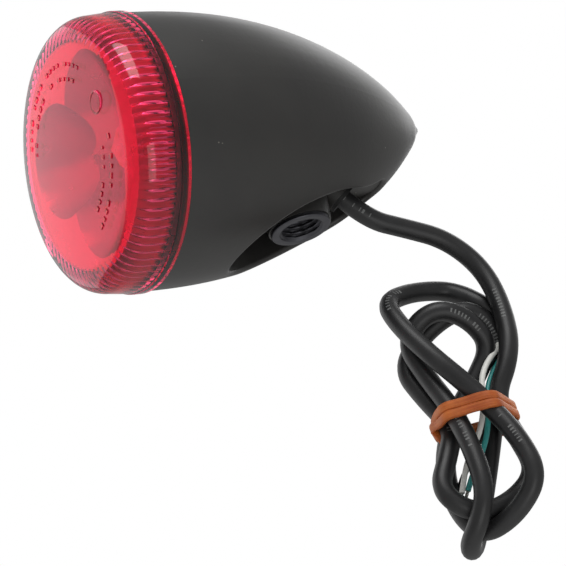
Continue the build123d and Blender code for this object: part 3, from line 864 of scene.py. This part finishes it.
def add_strip_map(piece, rows):
    """UV map that runs once along a strip and once round its section."""
    layer = piece.data.uv_layers.new(name="strip")
    for face in piece.data.polygons:
        for corner in face.loop_indices:
            index = piece.data.loops[corner].vertex_index
            layer.data[corner].uv = (index // BAND_SIDES / rows, index % BAND_SIDES / BAND_SIDES)


def make_band():
    """Two turns of one rubber band, side by side, each a little wavy."""
    for turn, (name, shift, slack) in enumerate(BAND_TURNS):
        path = band_path(slack)
        section = strip_section(2.1, 1.25)
        points = []
        for i, middle in enumerate(path):
            ahead, behind = path[(i + 1) % BAND_STEPS], path[i - 1]
            along = (ahead - behind).normalized()
            outward = Vector((along.y, -along.x))
            wave = noise.noise(Vector((middle.x * 0.23, middle.y * 0.23, 5.0 * turn)))
            crossing = math.exp(-((i / BAND_STEPS - BAND_CROSSING) / 0.05) ** 2)
            down = BAND_DOWN + shift * (1 - 0.9 * crossing) + BAND_TILT * (middle.x + 1) + 0.35 * wave
            lift = (0.5 if turn else -0.1) * crossing
            for side, out in section:
                spot = middle + outward * (out + lift + 0.06 * wave)
                points.append(in_bundle(spot.x, down + side, spot.y))
        faces = grid_faces(BAND_STEPS, BAND_SIDES, True, True)
        strip = mesh_piece(f"rubber_band_{name}", points, faces, LATEX, 50.0)
        add_strip_map(strip, BAND_STEPS)
        place_piece(strip, "lamp")
        if turn == 0:
            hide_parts("rubber_band")


def make_band_tail():
    """Torn end of the band where its two turns cross, hanging down with a ragged edge."""
    section = strip_section(2.0, 1.0)
    start = band_path(0.9)[TORN_END_STEP]
    rows = 9
    points = []
    for i in range(rows):
        share = i / (rows - 1)
        for side, out in section:
            ragged = 0.5 * noise.noise(Vector((side * 2.1, out, 3.0))) * share**3
            points.append(in_bundle(
                start.x + 1.2 * share + side * (1 - 0.35 * share),
                BAND_DOWN + 0.2 + TORN_END_LENGTH * share + ragged,
                start.y + 0.4 + 0.8 * math.sin(2.5 * share) + out * (1 - 0.3 * share),
            ))
    faces = grid_faces(rows, BAND_SIDES, False, True)
    faces.append(tuple(range(BAND_SIDES)))
    faces.append(tuple(BAND_SIDES * (rows - 1) + k for k in reversed(range(BAND_SIDES))))
    tail = mesh_piece("rubber_band_torn_end", points, faces, LATEX, 50.0)
    add_strip_map(tail, rows)
    place_piece(tail, "lamp")


make_band()
make_band_tail()


# ---- print on the cable -----------------------------------------------------------------------
def dashes_along_route():
    """Dashes on the jacket in short groups, turned towards one side of the cable."""
    tree, source = new_tree("dashes_along_the_cable", {
        "Route": "NodeSocketObject", "Spacing": "NodeSocketFloat", "Group": "NodeSocketInt",
        "Shown": "NodeSocketInt", "Facing": "NodeSocketVector", "Seed": "NodeSocketInt",
        "Finish": "NodeSocketMaterial",
    })
    route = add(tree, "GeometryNodeObjectInfo", {"Object": source.outputs["Route"]})
    curve = add(tree, "GeometryNodeMeshToCurve", {"Mesh": route.outputs["Geometry"]})
    even = add(tree, "GeometryNodeCurveToPoints", {
        "Curve": curve.outputs[0], "Length": source.outputs["Spacing"],
    }, mode="LENGTH")
    index = add(tree, "GeometryNodeInputIndex")
    place = add(tree, "ShaderNodeMath", {0: index.outputs[0], 1: source.outputs["Group"]}, operation="MODULO")
    blank = add(tree, "ShaderNodeMath", {
        0: place.outputs[0], 1: source.outputs["Shown"],
    }, operation="GREATER_THAN")
    chance = add(tree, "FunctionNodeRandomValue", {2: 0.0, 3: 1.0, "Seed": source.outputs["Seed"]})
    gap = add(tree, "ShaderNodeMath", {0: chance.outputs[1], 1: 0.16}, operation="LESS_THAN")
    either = add(tree, "ShaderNodeMath", {0: blank.outputs[0], 1: gap.outputs[0]}, operation="MAXIMUM")
    chosen = add(tree, "GeometryNodeDeleteGeometry", {
        "Geometry": even.outputs["Points"], "Selection": either.outputs[0],
    })
    along = add(tree, "FunctionNodeAlignRotationToVector", {"Vector": even.outputs["Tangent"]}, axis="X")
    facing = add(tree, "FunctionNodeAlignRotationToVector", {
        "Rotation": along.outputs[0], "Vector": source.outputs["Facing"],
    }, axis="Z", pivot_axis="X")
    width = add(tree, "FunctionNodeRandomValue", {2: 0.4, 3: 1.0, "Seed": source.outputs["Seed"]})
    stretch = add(tree, "ShaderNodeCombineXYZ", {"X": width.outputs[1], "Y": 1.0, "Z": 1.0})
    copies = add(tree, "GeometryNodeInstanceOnPoints", {
        "Points": chosen.outputs[0], "Instance": source.outputs["Geometry"], "Rotation": facing.outputs[0],
        "Scale": stretch.outputs[0],
    })
    real = add(tree, "GeometryNodeRealizeInstances", {"Geometry": copies.outputs[0]})
    smooth = add(tree, "GeometryNodeSetShadeSmooth", {"Geometry": real.outputs[0]})
    dressed = add(tree, "GeometryNodeSetMaterial", {
        "Geometry": smooth.outputs[0], "Material": source.outputs["Finish"],
    })
    close_tree(tree, dressed.outputs[0])
    return tree


PRINT_PROUD = 0.015    # above the jacket
PRINT_WIDTH = 0.52     # of the widest dash, along the cable
PRINT_ARC = 24.0       # degrees of the jacket that a dash covers


def make_print():
    """Plain dashes where the cable carries its legend, curved to the jacket."""
    radius = CABLE_DIAMETER / 2 + PRINT_PROUD
    patch = bpy.data.meshes.new("print_dash")
    points = []
    for along in (-PRINT_WIDTH / 2, PRINT_WIDTH / 2):
        for k in range(5):
            a = math.radians(PRINT_ARC * (k / 4 - 0.5))
            points.append((along * MM, radius * math.sin(a) * MM, radius * math.cos(a) * MM))
    patch.from_pydata(points, [], grid_faces(2, 5))
    line = bpy.data.meshes.new("cable_route")
    line.from_pydata(
        [tuple(p * MM) for p in cable_line], [(i, i + 1) for i in range(len(cable_line) - 1)], [],
    )
    route = bpy.data.objects.new("cable_route", line)
    bpy.context.scene.collection.objects.link(route)
    facing = OUT * 0.9 + Vector((0.1, -0.1, -0.1))
    marks = baked("cable_print", patch, dashes_along_route(), {
        "Route": route, "Spacing": 0.85 * MM, "Group": 52, "Shown": 9, "Facing": facing, "Seed": 7,
        "Finish": INK,
    })
    bpy.data.objects.remove(route)
    place_piece(marks, "lamp")


make_print()


# ---- stage and light --------------------------------------------------------------------------
FLOOR_HEIGHT = -0.62   # metres, well below the hanging coil
FLOOR_HALF = 4.0


def make_stage():
    mesh = bpy.data.meshes.new("floor")
    corners = [(-1, -1), (1, -1), (1, 1), (-1, 1)]
    spots = [(x * FLOOR_HALF, y * FLOOR_HALF, FLOOR_HEIGHT) for x, y in corners]
    mesh.from_pydata(spots, [], [(0, 1, 2, 3)])
    # Matte white studio floor with a barely uneven paint coat.
    paint = plain_finish("matte_white_studio_paint", "#f4f4f3", "#efefee", 0.8, 0.0, 60.0, 0.05)
    mesh.materials.append(paint)
    floor = bpy.data.objects.new("floor", mesh)
    bpy.context.scene.collection.objects.link(floor)


def make_light(name, place, aim, size, power):
    data = bpy.data.lights.new(name, "AREA")
    data.shape = "RECTANGLE"
    data.size = size[0]
    data.size_y = size[1]
    data.energy = power
    light = bpy.data.objects.new(name, data)
    light.location = place
    light.rotation_mode = "QUATERNION"
    light.rotation_quaternion = (Vector(aim) - Vector(place)).to_track_quat("-Z", "Y")
    bpy.context.scene.collection.objects.link(light)


def make_lighting():
    world = bpy.data.worlds.new("white_room")
    world.use_nodes = True
    tree = world.node_tree
    tree.nodes.clear()
    output = add(tree, "ShaderNodeOutputWorld")
    # The backdrop is white to the eye and through the lens, and lights the lamp less than that.
    sight = add(tree, "ShaderNodeLightPath")
    seen = add(tree, "ShaderNodeMath", {
        0: sight.outputs["Is Camera Ray"], 1: sight.outputs["Is Transmission Ray"],
    }, operation="MAXIMUM")
    level = add(tree, "ShaderNodeMapRange", {"Value": seen.outputs[0], "To Min": 0.42, "To Max": 1.0})
    room = add(tree, "ShaderNodeBackground", {"Color": (1.0, 1.0, 1.0, 1.0), "Strength": level.outputs[0]})
    tree.links.new(room.outputs[0], output.inputs["Surface"])
    bpy.context.scene.world = world
    make_light("key", (0.5, -0.1, 0.6), (0, 0, 0.02), (0.5, 0.5), 2.9)
    make_light("front", (-0.72, -0.44, 0.40), (0, -0.05, 0.02), (1.1, 1.1), 2.5)
    make_light("tail", (-0.3, 0.55, 0.4), (0, 0.02, 0.0), (0.5, 0.5), 1.5)
    make_light("low", (0.6, -0.1, -0.45), (0, 0, -0.02), (0.4, 0.4), 0.7)


make_stage()
make_lighting()
bpy.context.scene.view_settings.view_transform = "Standard"
